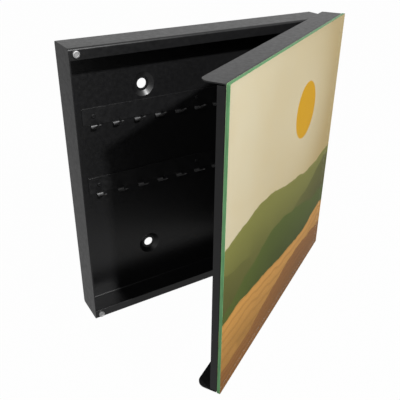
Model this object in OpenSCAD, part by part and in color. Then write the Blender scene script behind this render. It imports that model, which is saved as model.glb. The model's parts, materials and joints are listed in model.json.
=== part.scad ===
// Wall key box: a folded steel case with two hook strips and a glass-faced door on swan-neck hinges.
// Frame: X to the right seen from the front, Y into the wall, Z up.
// Origin: middle of the four wall screws, on the wall's face. The door stands ajar at rest.

/* [Case] */
// Outside width of the case
case_w = 296; // [250:1:360]
// Outside height of the case
case_h = 296; // [270:1:360]
// Depth of the case from the back panel to the front of the lips
case_d = 36.5; // [32:0.5:60]
// Thickness of the case's sheet steel
case_t = 1.2; // [0.8:0.1:1.6]
// Outside radius of the case's folds
case_fold_r = 2.2; // [1.7:0.1:3]
// Height of the lips above and below the opening
lip_h = 10.5; // [8:0.5:16]

/* [Wall fixing] */
// Distance between the wall screws, side to side
screw_pitch_x = 126; // [90:1:180]
// Distance between the wall screws, up and down
screw_pitch_z = 191; // [185:1:215]
// Diameter of the screw holes
screw_hole_d = 10.5; // [4:0.5:12]
// Diameter of the flat floor of each pressed dimple
dimple_floor_d = 15.5; // [13:0.5:18]
// Diameter of the mouth of each pressed dimple
dimple_mouth_d = 25; // [22:0.5:28]
// How far the dimples stand out behind the back panel
dimple_depth = 3; // [2:0.25:5]

/* [Hook strips] */
// Length of a hook strip
strip_w = 260; // [248:1:280]
// Height of a hook strip above the roots of its hooks
strip_h = 17.5; // [14:0.5:24]
// Thickness of a hook strip
strip_t = 1; // [0.8:0.1:1.5]
// Radius of a hook strip's corners
strip_corner_r = 2; // [0.5:0.5:4]
// Top edge of the upper strip above the middle of the case
strip_top = 80; // [70:0.5:84]
// Distance between the two strips
strip_pitch = 75.5; // [60:0.5:100]
// Hooks on each strip
hook_count = 11; // [3:2:11]
// Distance from a strip's end to the middle of its outer hooks
strip_end = 11.5; // [8:0.5:16]
// Width of a hook at its root
hook_w = 6.6; // [4:0.2:9]
// Width of a hook at its tip
hook_tip_w = 3; // [2:0.25:4]
// Inside radius of a hook's bend
hook_bend_r = 2.4; // [1:0.1:3]
// Slope of a hook above the level, in degrees
hook_rise = 31; // [15:1:45]
// Length of a hook's straight arm
hook_arm = 17; // [10:0.5:20]
// How far each face of a hook's arm is pressed in
hook_press = 0.05; // [0.02:0.01:0.1]
// Width of the relief slots beside a hook's root
relief_w = 1; // [0.6:0.1:1.6]
// Height of the relief slots beside a hook's root
relief_h = 1.5; // [1:0.1:3]
// Distance from the strip's top edge down to its rivets
rivet_drop = 8.5; // [6:0.5:11]
// Diameter of a rivet's shank
rivet_d = 2.4; // [2:0.1:3.2]
// Diameter of a rivet's head
rivet_head_d = 5; // [4.5:0.25:6.5]
// Height of a rivet's head
rivet_head_h = 1; // [0.6:0.1:1.6]

/* [Magnets] */
// Diameter of a magnet
magnet_d = 6.4; // [5:0.1:7.5]
// Thickness of a magnet
magnet_t = 2; // [1.5:0.1:4]
// Distance from the case's side to the middle of a magnet
magnet_from_side = 6.6; // [5:0.1:9]
// Gap left at the magnets when the door is shut
shut_gap = 0.2; // [0.1:0.05:0.5]

/* [Door] */
// How far the glass reaches past the door pan all round
glass_reach = 0.5; // [0.1:0.1:2]
// Thickness of the glass
glass_t = 3; // [2:0.5:6]
// Radius of the glass's corners
glass_corner_r = 1.5; // [0.5:0.5:3]
// Thickness of the printed film behind the glass
film_t = 0.2; // [0.1:0.05:0.4]
// Distance from the glass's edge to the film's edge
film_inset = 0.1; // [0.1:0.1:1.5]
// Thickness of the adhesive tapes behind the film
tape_t = 0.5; // [0.3:0.1:1]
// Width of the adhesive tapes
tape_w = 12; // [8:1:25]
// Thickness of the door pan's sheet steel
pan_t = 1; // [0.8:0.1:1.4]
// Outside radius of the door pan's folds
pan_fold_r = 1.5; // [1.45:0.05:3]
// Gap all round between the case and the door pan
pan_gap = 0.5; // [0.4:0.1:1.5]
// Gap between the ends of the pan's side walls and its flanges
pan_relief = 1; // [0.4:0.1:1.6]
// Depth of the pan's side walls
pan_d = 6.8; // [5:0.1:9]
// Depth of the pan's top and bottom flanges
flange_d = 22.3; // [16:0.1:30]
// Radius of the flanges' free corners
flange_free_r = 9; // [4:0.5:12]
// Radius of the flanges' corners on the hinge side
flange_hinge_r = 2; // [0.5:0.5:5]
// Width of the return lip that meets the magnets
return_w = 14; // [13:0.5:20]

/* [Hinges] */
// Distance from the case's side to the hinge axis
hinge_from_side = 10; // [9.8:0.1:14]
// Distance from the back panel's rear face to the hinge axis
hinge_from_back = 7.9; // [7:0.1:12]
// Distance from the case's top or bottom to the middle of a hinge
hinge_from_end = 24; // [24:0.5:33]
// How far the door stands open at rest, in degrees
door_ajar = 31.2; // [0:0.2:80]
// Diameter of a hinge pin
pin_d = 4; // [3:0.25:4.5]
// Diameter of a hinge pin's head
pin_head_d = 7; // [6:0.25:8]
// Height of a hinge pin's head
pin_head_h = 1.5; // [1:0.1:2.5]
// Radial running gap between a pin and what turns on it
run_gap = 0.05; // [0.02:0.01:0.1]
// Radial gap of a pin or rivet in a fixed hole
seat_gap = 0.03; // [0.02:0.01:0.08]
// Thickness of a swan-neck arm
arm_t = 2; // [1.5:0.1:2.4]
// Height of a swan-neck arm
arm_h = 16; // [12:1:18]
// Inside radius of a swan-neck arm's bends
arm_bend_r = 2; // [1:0.25:3]
// Room between an arm and the side wall's front edge at full swing
arm_clear = 3.4; // [2:0.1:8]
// Length of an arm's foot on the door pan
arm_foot = 26; // [24:0.5:40]
// Thickness of a hinge bracket
bracket_t = 2; // [1.5:0.1:2.2]
// Depth of a hinge bracket's base along the side wall
bracket_base = 20; // [16:0.5:24]
// Thickness of a hinge washer
washer_t = 0.6; // [0.4:0.1:1]
// End play between an arm and its washers
end_play = 0.1; // [0.05:0.05:0.3]
// Diameter of the studs that hold the arms
stud_d = 4; // [3:0.5:5]
// Distance between the two studs of an arm
stud_pitch = 12; // [11:0.5:14]
// Width of a nut across its flats
nut_flats = 7; // [6.5:0.5:8]
// Thickness of a nut
nut_t = 3.2; // [2.4:0.1:4]

/* [Hidden] */
$fn = 64;
eps = 0.01;

// Planes of the case, from the wall forwards
back_y = -dimple_depth;
panel_y = back_y - case_t;
strip_y = panel_y - strip_t;
front_y = back_y - case_d;

// Hook strips
strip_tops = [strip_top, strip_top - strip_pitch];
hook_first = -(hook_count - 1) / 2;
hook_pitch = (strip_w - 2 * strip_end) / (hook_count - 1);
// Plan of a hook, from the strip's front face: its bend's end, the start of its taper, the middle of its round tip
hook_bend_end = hook_bend_r * (1 + sin(hook_rise));
hook_taper_at = hook_bend_end + strip_t;
hook_tip_at = hook_bend_end + hook_arm * cos(hook_rise) - hook_tip_w / 2;
hook_low = hook_bend_r + strip_t;
// The arm is drawn past its tip, which the plan then cuts round
hook_drawn = hook_arm + 2 * strip_t;
rivet_columns = [hook_first * hook_pitch, 0, -hook_first * hook_pitch];
rivet_hole_d = rivet_d + 2 * seat_gap;
rivet_tail_d = rivet_d * 1.6;
rivet_tail_h = min(1.2, dimple_depth - 0.5);

// Planes of the shut door, from its glass backwards
pan_back_y = front_y - magnet_t - shut_gap;
pan_y = pan_back_y - pan_d;
tape_y = pan_y - tape_t;
film_y = tape_y - film_t;
glass_y = film_y - glass_t;
pan_in_y = pan_y + pan_t;
pan_w = case_w + 2 * (pan_gap + pan_t);
pan_h = case_h + 2 * (pan_gap + pan_t);
pan_side_h = pan_h - 2 * (pan_t + pan_relief);
glass_w = pan_w + 2 * glass_reach;
glass_h = pan_h + 2 * glass_reach;
film_w = glass_w - 2 * film_inset;
film_h = glass_h - 2 * film_inset;

// Hinges
hinge_x = case_w / 2 - hinge_from_side;
hinge_y = back_y - hinge_from_back;
hinge_z = case_h / 2 - hinge_from_end;
side_in = hinge_from_side - case_t;
eye_bore_r = pin_d / 2 + run_gap;
eye_r = eye_bore_r + arm_t;
leg_x = case_d - hinge_from_back + arm_clear;
foot_y = pan_in_y - hinge_y;
ear_r = pin_d / 2 + 2.6;
ear_in = arm_h / 2 + end_play + washer_t;
ear_out = ear_in + bracket_t;
pin_low = ear_out + 1;
stud_l = arm_t + nut_t + 1;
stud_first = leg_x + arm_t + arm_bend_r + (arm_foot - arm_t - arm_bend_r - stud_pitch) / 2;
nut_bore_r = stud_d / 2 + seat_gap;

case_black = [0.10, 0.10, 0.11];
zinc = [0.72, 0.73, 0.74];

// Rectangle with round corners, centred
module round_rect(w, h, r) {
    square([w - 2 * r, h], center = true);
    square([w, h - 2 * r], center = true);
    for (x = [-1, 1], y = [-1, 1])
        translate([x * (w / 2 - r), y * (h / 2 - r)])
            circle(r);
}

// Quarter of a ring, for a bend of inside radius r in a sheet of thickness t
module bend(r, t, turn) {
    rotate(turn)
        intersection() {
            difference() {
                circle(r + t);
                circle(r);
            }
            square(r + t);
        }
}

// Extrude a Y-Z profile along X, centred
module along_x(length) {
    translate([-length / 2, 0, 0])
        rotate([90, 0, 90])
            linear_extrude(length)
                children();
}

// Extrude an X-Z outline forwards from the plane y
module forwards(y, thickness) {
    translate([0, y, 0])
        rotate([90, 0, 0])
            linear_extrude(thickness)
                children();
}

// Cylinder or cone that runs forwards from the plane y, of diameters d1 at y and d2 at its end
module forward_cone(y, length, d1, d2) {
    translate([0, y, 0])
        rotate([90, 0, 0])
            cylinder(h = length, d1 = d1, d2 = d2);
}

// Places of the four wall screws
module at_screws() {
    for (x = [-1, 1], z = [-1, 1])
        translate([x * screw_pitch_x / 2, 0, z * screw_pitch_z / 2])
            children();
}

// Turn what is drawn shut to where the door stands at rest
module on_door() {
    translate([hinge_x, hinge_y, 0])
        rotate([0, 0, door_ajar])
            translate([-hinge_x, -hinge_y, 0])
                children();
}

// Place of the upper or the lower hinge, with the axis at the origin
module at_hinge(side) {
    translate([hinge_x, hinge_y, side * hinge_z])
        children();
}

// Profile of the back panel, top and bottom walls and lips: Y to the right, Z up
module case_profile() {
    translate([(back_y + front_y) / 2, 0])
        difference() {
            round_rect(case_d, case_h, case_fold_r);
            round_rect(case_d - 2 * case_t, case_h - 2 * case_t, case_fold_r - case_t);
            translate([-case_d / 2 - eps, -case_h / 2 + lip_h])
                square([case_t + 2 * eps, case_h - 2 * lip_h]);
        }
}

module case_side() {
    along_x(case_t)
        translate([(back_y + front_y) / 2, 0])
            round_rect(case_d, case_h, case_fold_r);
}

module case_tray() {
    color(case_black)
        difference() {
            union() {
                along_x(case_w)
                    case_profile();
                for (x = [-1, 1])
                    translate([x * (case_w - case_t) / 2, 0, 0])
                        case_side();
                at_screws()
                    forward_cone(0, dimple_depth, dimple_floor_d + case_t, dimple_mouth_d + case_t);
            }
            at_screws() {
                forward_cone(-case_t, dimple_depth, dimple_floor_d, dimple_mouth_d);
                forward_cone(eps, case_t + 2 * eps, screw_hole_d, screw_hole_d);
            }
            for (top = strip_tops, x = rivet_columns)
                translate([x, 0, top - rivet_drop])
                    forward_cone(back_y + eps, case_t + 2 * eps, rivet_hole_d, rivet_hole_d);
        }
}

// Side profile of a hook: forwards to the right, up from its root at the strip's lower edge.
// It starts in the strip between the relief slots and turns forwards round the bend, then the arm rises,
// pressed a little thinner than the strip
module hook_profile() {
    far = 2 * hook_low;
    translate([-strip_t, 0])
        square([strip_t, relief_h]);
    translate([hook_bend_r, 0]) {
        intersection() {
            difference() {
                circle(hook_low);
                circle(hook_bend_r);
            }
            polygon([[0, 0], [-far, 0], [-far, -far], [far * tan(hook_rise), -far]]);
        }
        rotate(hook_rise)
            translate([-4 * hook_press, hook_press - hook_low])
                square([hook_drawn, strip_t - 2 * hook_press]);
    }
}

// Plan of a hook: forwards is down, the root is straight, the arm tapers to a round tip
module hook_plan() {
    translate([-hook_w / 2, -hook_taper_at])
        square([hook_w, hook_taper_at + 2 * strip_t]);
    polygon([
        [-hook_w / 2, -hook_taper_at], [hook_w / 2, -hook_taper_at],
        [hook_tip_w / 2, -hook_tip_at], [-hook_tip_w / 2, -hook_tip_at]
    ]);
    translate([0, -hook_tip_at])
        circle(hook_tip_w / 2);
}

// One hook, its root at the origin on the strip's front face
module hook() {
    intersection() {
        along_x(2 * hook_w)
            mirror([1, 0])
                hook_profile();
        translate([0, 0, -2 * hook_low])
            linear_extrude(4 * hook_low + hook_drawn)
                hook_plan();
    }
}

module hook_strip(top) {
    color(case_black)
        translate([0, 0, top]) {
            difference() {
                forwards(panel_y, strip_t)
                    translate([0, -strip_h / 2])
                        round_rect(strip_w, strip_h, strip_corner_r);
                for (i = [hook_first : -hook_first])
                    translate([i * hook_pitch, strip_y + strip_t / 2, -strip_h])
                        cube([hook_w + 2 * relief_w, 2 * strip_t, 2 * relief_h], center = true);
                for (x = rivet_columns)
                    translate([x, 0, -rivet_drop])
                        forward_cone(panel_y + eps, strip_t + 2 * eps, rivet_hole_d, rivet_hole_d);
            }
            for (i = [hook_first : -hook_first])
                translate([i * hook_pitch, strip_y, -strip_h])
                    hook();
        }
}

// Blind rivets of one strip: round head in front, shank, and a tail behind the back panel
module strip_rivets(top) {
    dome_r = (pow(rivet_head_d / 2, 2) + pow(rivet_head_h, 2)) / (2 * rivet_head_h);
    color(case_black)
        for (x = rivet_columns)
            translate([x, strip_y, top - rivet_drop]) {
                intersection() {
                    translate([0, dome_r - rivet_head_h, 0])
                        sphere(dome_r);
                    forward_cone(0, rivet_head_h, rivet_head_d, rivet_head_d);
                }
                forward_cone(back_y - strip_y, back_y - strip_y, rivet_d, rivet_d);
                forward_cone(back_y - strip_y + rivet_tail_h, rivet_tail_h, rivet_tail_d, rivet_tail_d);
            }
}

module magnet(side) {
    color(zinc)
        translate([-case_w / 2 + magnet_from_side, 0, side * (case_h - lip_h) / 2])
            forward_cone(front_y, magnet_t, magnet_d, magnet_d);
}

// Bracket on the case's side wall: a base and two ears that carry the pin
module hinge_bracket(side) {
    color(case_black)
        at_hinge(side) {
            translate([side_in - bracket_t, -bracket_base + ear_r, -ear_out])
                cube([bracket_t, bracket_base, 2 * ear_out]);
            for (z = [-ear_out, ear_in])
                translate([0, 0, z])
                    linear_extrude(bracket_t)
                        difference() {
                            union() {
                                circle(ear_r);
                                translate([0, -ear_r])
                                    square([side_in - bracket_t, 2 * ear_r]);
                            }
                            circle(pin_d / 2 + seat_gap);
                        }
        }
}

module hinge_pin(side) {
    color(zinc)
        at_hinge(side) {
            translate([0, 0, -pin_low])
                cylinder(h = pin_low + ear_out, d = pin_d);
            translate([0, 0, ear_out])
                cylinder(h = pin_head_h, d1 = pin_head_d, d2 = pin_head_d * 0.8);
        }
}

// Two washers of one hinge, above and below the arm's eye
module hinge_washers(side) {
    color("whitesmoke")
        at_hinge(side)
            for (z = [-ear_in, ear_in - washer_t])
                translate([0, 0, z])
                    linear_extrude(washer_t)
                        difference() {
                            circle(eye_r);
                            circle(eye_bore_r);
                        }
}

// Profile of the pan's face with its top and bottom flanges
module pan_profile() {
    translate([pan_y + flange_d / 2 + pan_fold_r / 2, 0])
        difference() {
            round_rect(flange_d + pan_fold_r, pan_h, pan_fold_r);
            translate([pan_t, 0])
                round_rect(flange_d + pan_fold_r, pan_h - 2 * pan_t, pan_fold_r - pan_t);
            translate([flange_d / 2 - pan_fold_r / 2, -pan_h / 2])
                square([2 * pan_fold_r, pan_h]);
        }
}

// What is cut off a flange's corner to round it, on the side x
module flange_corner(x, r) {
    translate([x * pan_w / 2, pan_y + flange_d, -pan_h / 2 - eps])
        linear_extrude(pan_h + 2 * eps)
            difference() {
                square(2 * r, center = true);
                translate([-x * r, -r])
                    circle(r);
            }
}

module door_pan() {
    color(case_black)
        on_door() {
            difference() {
                along_x(pan_w)
                    pan_profile();
                flange_corner(-1, flange_free_r);
                flange_corner(1, flange_hinge_r);
            }
            for (x = [-1, 1])
                translate([x * (pan_w - pan_t) / 2 - pan_t / 2, pan_y + pan_t / 2, -pan_side_h / 2])
                    cube([pan_t, pan_d - pan_t / 2, pan_side_h]);
            translate([-pan_w / 2 + pan_t / 2, pan_back_y - pan_t, -pan_side_h / 2])
                cube([return_w - pan_t / 2, pan_t, pan_side_h]);
            for (side = [-1, 1], i = [0, 1])
                translate([hinge_x - stud_first - i * stud_pitch, 0, side * hinge_z])
                    forward_cone(pan_in_y + stud_l, stud_l + pan_t / 2, stud_d, stud_d);
        }
}

module glass_panel() {
    color([0.75, 0.88, 0.80, 0.4])
        on_door()
            forwards(film_y, glass_t)
                round_rect(glass_w, glass_h, glass_corner_r);
}

module print_film() {
    color([0.84, 0.76, 0.60])
        on_door()
            forwards(tape_y, film_t)
                round_rect(film_w, film_h, glass_corner_r);
}

// Four tapes round the edge of the pan's face, the upright ones between the level ones
module adhesive_tapes() {
    tape_span_w = pan_w - 2 * pan_fold_r;
    tape_span_h = pan_h - 2 * pan_fold_r;
    color("dimgray")
        on_door()
            forwards(pan_y, tape_t)
                for (side = [-1, 1]) {
                    translate([0, side * (tape_span_h - tape_w) / 2])
                        square([tape_span_w, tape_w], center = true);
                    translate([side * (tape_span_w - tape_w) / 2, 0])
                        square([tape_w, tape_span_h - 2 * tape_w - 2 * tape_t], center = true);
                }
}

// Outline of a swan-neck arm seen from above, drawn shut, with the hinge axis at the origin:
// an eye, a bar along the back panel, a leg forwards and a foot on the pan
module arm_outline() {
    bar_y = -eye_r;
    difference() {
        union() {
            circle(eye_r);
            translate([-leg_x + arm_bend_r, bar_y])
                square([leg_x - arm_bend_r, arm_t]);
        }
        circle(eye_bore_r);
    }
    translate([-leg_x + arm_bend_r, bar_y - arm_bend_r])
        bend(arm_bend_r, arm_t, 90);
    translate([-leg_x - arm_t, foot_y + arm_t + arm_bend_r])
        square([arm_t, bar_y - foot_y - arm_t - 2 * arm_bend_r]);
    translate([-leg_x - arm_t - arm_bend_r, foot_y + arm_t + arm_bend_r])
        bend(arm_bend_r, arm_t, 270);
    translate([-leg_x - arm_foot - arm_bend_r, foot_y])
        square([arm_foot - arm_t, arm_t]);
}

module hinge_arm(side) {
    color(zinc)
        on_door()
            at_hinge(side)
                difference() {
                    translate([0, 0, -arm_h / 2])
                        linear_extrude(arm_h)
                            arm_outline();
                    for (i = [0, 1])
                        translate([-stud_first - i * stud_pitch, 0, 0])
                            forward_cone(foot_y + arm_t + eps, arm_t + 2 * eps,
                                stud_d + 2 * seat_gap, stud_d + 2 * seat_gap);
                }
}

module arm_nuts(side) {
    color(zinc)
        on_door()
            at_hinge(side)
                for (i = [0, 1])
                    translate([-stud_first - i * stud_pitch, foot_y + arm_t + nut_t, 0])
                        rotate([90, 0, 0])
                            linear_extrude(nut_t)
                                difference() {
                                    circle(d = nut_flats / cos(30), $fn = 6);
                                    circle(nut_bore_r);
                                }
}

case_tray();
hook_strip(strip_tops[0]);  // upper_hook_strip
hook_strip(strip_tops[1]);  // lower_hook_strip
strip_rivets(strip_tops[0]);  // upper_strip_rivets
strip_rivets(strip_tops[1]);  // lower_strip_rivets
magnet(1);  // upper_magnet
magnet(-1);  // lower_magnet
hinge_bracket(1);  // upper_hinge_bracket
hinge_bracket(-1);  // lower_hinge_bracket
hinge_pin(1);  // upper_hinge_pin
hinge_pin(-1);  // lower_hinge_pin
hinge_washers(1);  // upper_hinge_washers
hinge_washers(-1);  // lower_hinge_washers
door_pan();
glass_panel();
print_film();
adhesive_tapes();
hinge_arm(1);  // upper_hinge_arm
hinge_arm(-1);  // lower_hinge_arm
arm_nuts(1);  // upper_arm_nuts
arm_nuts(-1);  // lower_arm_nuts
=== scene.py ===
"""Dresses the wall key box: paint, glass, picture, small fittings, light and camera.

Every length is in metres, in the part's own frame: X to the right seen from the front, Y into the wall
and Z up.
"""

import json
import math

import bmesh
import bpy
import numpy as np
from bpy.props import FloatProperty, FloatVectorProperty, PointerProperty
from mathutils import Matrix, Vector


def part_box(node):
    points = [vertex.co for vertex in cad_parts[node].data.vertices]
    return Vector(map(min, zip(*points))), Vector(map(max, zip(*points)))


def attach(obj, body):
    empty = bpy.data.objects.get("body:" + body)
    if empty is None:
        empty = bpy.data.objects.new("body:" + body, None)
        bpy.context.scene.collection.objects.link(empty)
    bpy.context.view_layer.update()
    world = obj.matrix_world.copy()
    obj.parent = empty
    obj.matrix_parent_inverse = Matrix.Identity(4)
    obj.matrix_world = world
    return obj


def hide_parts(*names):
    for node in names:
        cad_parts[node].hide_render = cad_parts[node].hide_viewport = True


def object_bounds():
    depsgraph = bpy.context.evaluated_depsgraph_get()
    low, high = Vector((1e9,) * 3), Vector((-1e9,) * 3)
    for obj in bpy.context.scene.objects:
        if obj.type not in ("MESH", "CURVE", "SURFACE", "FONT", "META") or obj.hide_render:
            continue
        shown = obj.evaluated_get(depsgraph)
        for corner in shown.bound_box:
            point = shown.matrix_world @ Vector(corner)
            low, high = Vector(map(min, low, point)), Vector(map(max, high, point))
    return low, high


bl_info = {
    "name": "Wall key box",
    "version": (1, 0, 0),
    "blender": (4, 5, 0),
    "location": "View3D > Sidebar > Key Box",
    "description": "Finishes, glass, picture and small fittings of a wall key box",
    "category": "Object",
}

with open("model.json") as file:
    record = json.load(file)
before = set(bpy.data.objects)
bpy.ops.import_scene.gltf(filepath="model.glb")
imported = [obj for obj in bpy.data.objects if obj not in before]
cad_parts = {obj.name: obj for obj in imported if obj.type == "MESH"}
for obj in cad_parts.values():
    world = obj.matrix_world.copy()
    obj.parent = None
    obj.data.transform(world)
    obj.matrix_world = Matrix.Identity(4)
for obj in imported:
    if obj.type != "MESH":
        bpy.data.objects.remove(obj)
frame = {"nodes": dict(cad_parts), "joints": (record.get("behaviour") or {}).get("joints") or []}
cad_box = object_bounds()

hinge = frame["joints"][0]
hinge_axis = np.array(hinge["pos_m"])
ajar = math.radians(-hinge["range_deg"][0])
door_turn = np.array(
    [
        [math.cos(ajar), -math.sin(ajar), 0.0],
        [math.sin(ajar), math.cos(ajar), 0.0],
        [0.0, 0.0, 1.0],
    ]
)

SIDES = ("upper", "lower")
WHITE = (1.0, 1.0, 1.0, 1.0)
FRONTWARDS = (0.0, -1.0, 0.0)
UPWARDS = (0.0, 0.0, 1.0)

# Nearly all values of a noise lie between these two.
NOISE_LOW = 0.3
NOISE_HIGH = 0.7

# Points closer than this are merged at poles and seams.
MERGE_DISTANCE = 1e-6

# Gap between faces that would otherwise lie in one plane.
HAIR = 0.00002

# Radius and height along a rivet's tail, as shares of the shank's radius and of the tail's height.
RIVET_TAIL = ((0.0, 0.0), (1.3, 0.0), (1.6, 0.25), (1.6, 0.8), (1.35, 1.0), (1.0, 1.0))
# Radius and depth of the mandrel's hole, as shares of the shank's radius and of the head's height.
RIVET_HOLE = ((0.62, 0.1), (0.58, 0.5), (0.0, 0.42))
# Radius of a rivet's head and of the mandrel's rim, as shares of the shank's radius.
RIVET_HEAD = 2.08
RIVET_RIM = 0.8
# Radius and height along a pin's peened end, as shares of the pin's radius.
PIN_END = ((0.0, 0.0), (0.6, 0.0), (0.85, 0.1), (1.0, 0.35))

# Ridges of the picture from far to near: level, swing, turns, start, colour and its tone, furrows.
RIDGES = (
    (0.50, 0.045, 5.0, 0.4, "far_hill", 1.0, 0.0),
    (0.41, 0.060, 4.0, 2.6, "far_hill", 0.6, 0.0),
    (0.33, 0.050, 6.0, 5.2, "near_hill", 1.0, 0.0),
    (0.22, 0.040, 4.5, 1.3, "clay_field", 1.0, 120.0),
    (0.09, 0.030, 5.5, 4.0, "brown_field", 1.0, 160.0),
)
# Place of the sun in the picture, its radius, and where its glow starts and ends.
SUN_PLACE = (0.66, 0.73)
SUN_RADIUS = 0.1
SUN_GLOW = (0.09, 0.34)
# Half the width of a printed edge, as a share of the picture.
PRINT_SOFT = 0.002


class KeyBoxFinishes(bpy.types.PropertyGroup):
    """Colours and gloss of the painted and bare surfaces."""

    paint_colour: FloatVectorProperty(
        name="Paint",
        description="Powder coat of the case and the door",
        subtype="COLOR",
        default=(0.0048, 0.0048, 0.0051),
    )
    paint_roughness: FloatProperty(
        name="Paint roughness",
        description="Middle roughness of the powder coat",
        default=0.32,
        min=0.1,
        max=1.0,
    )
    paint_gloss: FloatProperty(
        name="Paint gloss",
        description="Specular level of the powder coat",
        default=0.5,
        min=0.0,
        max=1.0,
    )
    strip_gloss: FloatProperty(
        name="Strip gloss",
        description="Specular level of the hook strips' paint",
        default=0.75,
        min=0.0,
        max=1.0,
    )
    worn_roughness: FloatProperty(
        name="Worn hooks",
        description="Roughness of the paint on the hooks",
        default=0.52,
        min=0.1,
        max=1.0,
    )
    # Lighter grey on the hooks: partly worn paint, partly a painted highlight on the hook bends.
    wear_and_highlight_colour: FloatVectorProperty(
        name="Worn paint",
        description="Greyer paint where the hooks are rubbed",
        subtype="COLOR",
        default=(0.05, 0.05, 0.051),
    )
    edge_round: FloatProperty(
        name="Edge",
        description="Radius to which the paint rounds the edges of the sheet",
        default=0.0005,
        unit="LENGTH",
    )
    peel_size: FloatProperty(
        name="Orange peel",
        description="Width of one bump of the powder coat",
        default=0.0009,
        unit="LENGTH",
    )
    zinc_colour: FloatVectorProperty(
        name="Zinc",
        description="Zinc plating of the hinge arms, pins and nuts",
        subtype="COLOR",
        default=(0.52, 0.53, 0.55),
    )
    magnet_colour: FloatVectorProperty(
        name="Magnets",
        description="Nickel plating of the magnets",
        subtype="COLOR",
        default=(0.435, 0.435, 0.435),
    )
    washer_colour: FloatVectorProperty(
        name="Washers",
        description="Nylon of the hinge washers",
        subtype="COLOR",
        default=(0.72, 0.71, 0.66),
    )
    tape_colour: FloatVectorProperty(
        name="Tapes",
        description="Foam of the adhesive tapes",
        subtype="COLOR",
        default=(0.035, 0.035, 0.036),
    )
    glass_edge_colour: FloatVectorProperty(
        name="Glass edge",
        description="Green of the glass seen through its edge",
        subtype="COLOR",
        default=(0.108, 0.25, 0.114),
    )
    glass_index: FloatProperty(
        name="Glass gloss",
        description="Refractive index that sets how strongly the glass mirrors",
        default=1.06,
        min=1.0,
        max=1.6,
    )


class KeyBoxPicture(bpy.types.PropertyGroup):
    """Colours of the printed picture behind the glass."""

    backing: FloatVectorProperty(
        name="Backing",
        description="Dark ink on the sheet's back and edges",
        subtype="COLOR",
        default=(0.02, 0.035, 0.025),
    )
    sky_pale: FloatVectorProperty(
        name="Pale sky",
        description="Sky on the free side",
        subtype="COLOR",
        default=(0.60, 0.495, 0.37),
    )
    sky_deep: FloatVectorProperty(
        name="Deep sky",
        description="Sky on the hinge side",
        subtype="COLOR",
        default=(0.43, 0.295, 0.138),
    )
    sun_colour: FloatVectorProperty(
        name="Sun",
        description="Disc of the sun",
        subtype="COLOR",
        default=(0.58, 0.29, 0.015),
    )
    far_hill: FloatVectorProperty(
        name="Far hills",
        description="Olive hills on the skyline",
        subtype="COLOR",
        default=(0.15, 0.138, 0.04),
    )
    near_hill: FloatVectorProperty(
        name="Near hills",
        description="Dark green hills",
        subtype="COLOR",
        default=(0.06, 0.073, 0.016),
    )
    clay_field: FloatVectorProperty(
        name="Clay field",
        description="Terracotta fields",
        subtype="COLOR",
        default=(0.42, 0.195, 0.052),
    )
    brown_field: FloatVectorProperty(
        name="Brown field",
        description="Ground at the bottom",
        subtype="COLOR",
        default=(0.2, 0.08, 0.024),
    )


class KeyBoxDetails(bpy.types.PropertyGroup):
    """Sizes of the small forms that finish the fittings."""

    glass_corner: FloatProperty(
        name="Glass corner",
        description="Radius of the glass's corners",
        default=0.0015,
        unit="LENGTH",
    )
    glass_arris: FloatProperty(
        name="Glass arris",
        description="Ground bevel on the glass's edges",
        default=0.0002,
        unit="LENGTH",
    )
    magnet_bevel: FloatProperty(
        name="Magnet bevel",
        description="Bevel round a magnet's face",
        default=0.0004,
        unit="LENGTH",
    )
    magnet_dish: FloatProperty(
        name="Magnet dish",
        description="Depth of the dish in a magnet's face",
        default=0.0002,
        unit="LENGTH",
    )
    rivet_head: FloatProperty(
        name="Rivet head",
        description="Height of a rivet's head",
        default=0.001,
        unit="LENGTH",
    )
    rivet_shank: FloatProperty(
        name="Rivet shank",
        description="Radius of a rivet's shank",
        default=0.0012,
        unit="LENGTH",
    )
    rivet_tail: FloatProperty(
        name="Rivet tail",
        description="Height of a rivet's tail behind the panel",
        default=0.0012,
        unit="LENGTH",
    )
    pin_radius: FloatProperty(
        name="Pin",
        description="Radius of a hinge pin",
        default=0.002,
        unit="LENGTH",
    )
    pin_head: FloatProperty(
        name="Pin head",
        description="Height of a hinge pin's head",
        default=0.0015,
        unit="LENGTH",
    )
    washer_bore: FloatProperty(
        name="Washer bore",
        description="Radius of a washer's bore",
        default=0.00205,
        unit="LENGTH",
    )
    washer_thickness: FloatProperty(
        name="Washer",
        description="Thickness of a washer",
        default=0.0006,
        unit="LENGTH",
    )
    nut_bore: FloatProperty(
        name="Nut bore",
        description="Radius of a nut's bore",
        default=0.00203,
        unit="LENGTH",
    )
    stud_radius: FloatProperty(
        name="Stud",
        description="Radius of a stud",
        default=0.002,
        unit="LENGTH",
    )
    stud_proud: FloatProperty(
        name="Stud end",
        description="How far a stud stands out of its nut",
        default=0.001,
        unit="LENGTH",
    )
    thread_pitch: FloatProperty(
        name="Thread pitch",
        description="Pitch of the studs' thread",
        default=0.0007,
        unit="LENGTH",
    )


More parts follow.
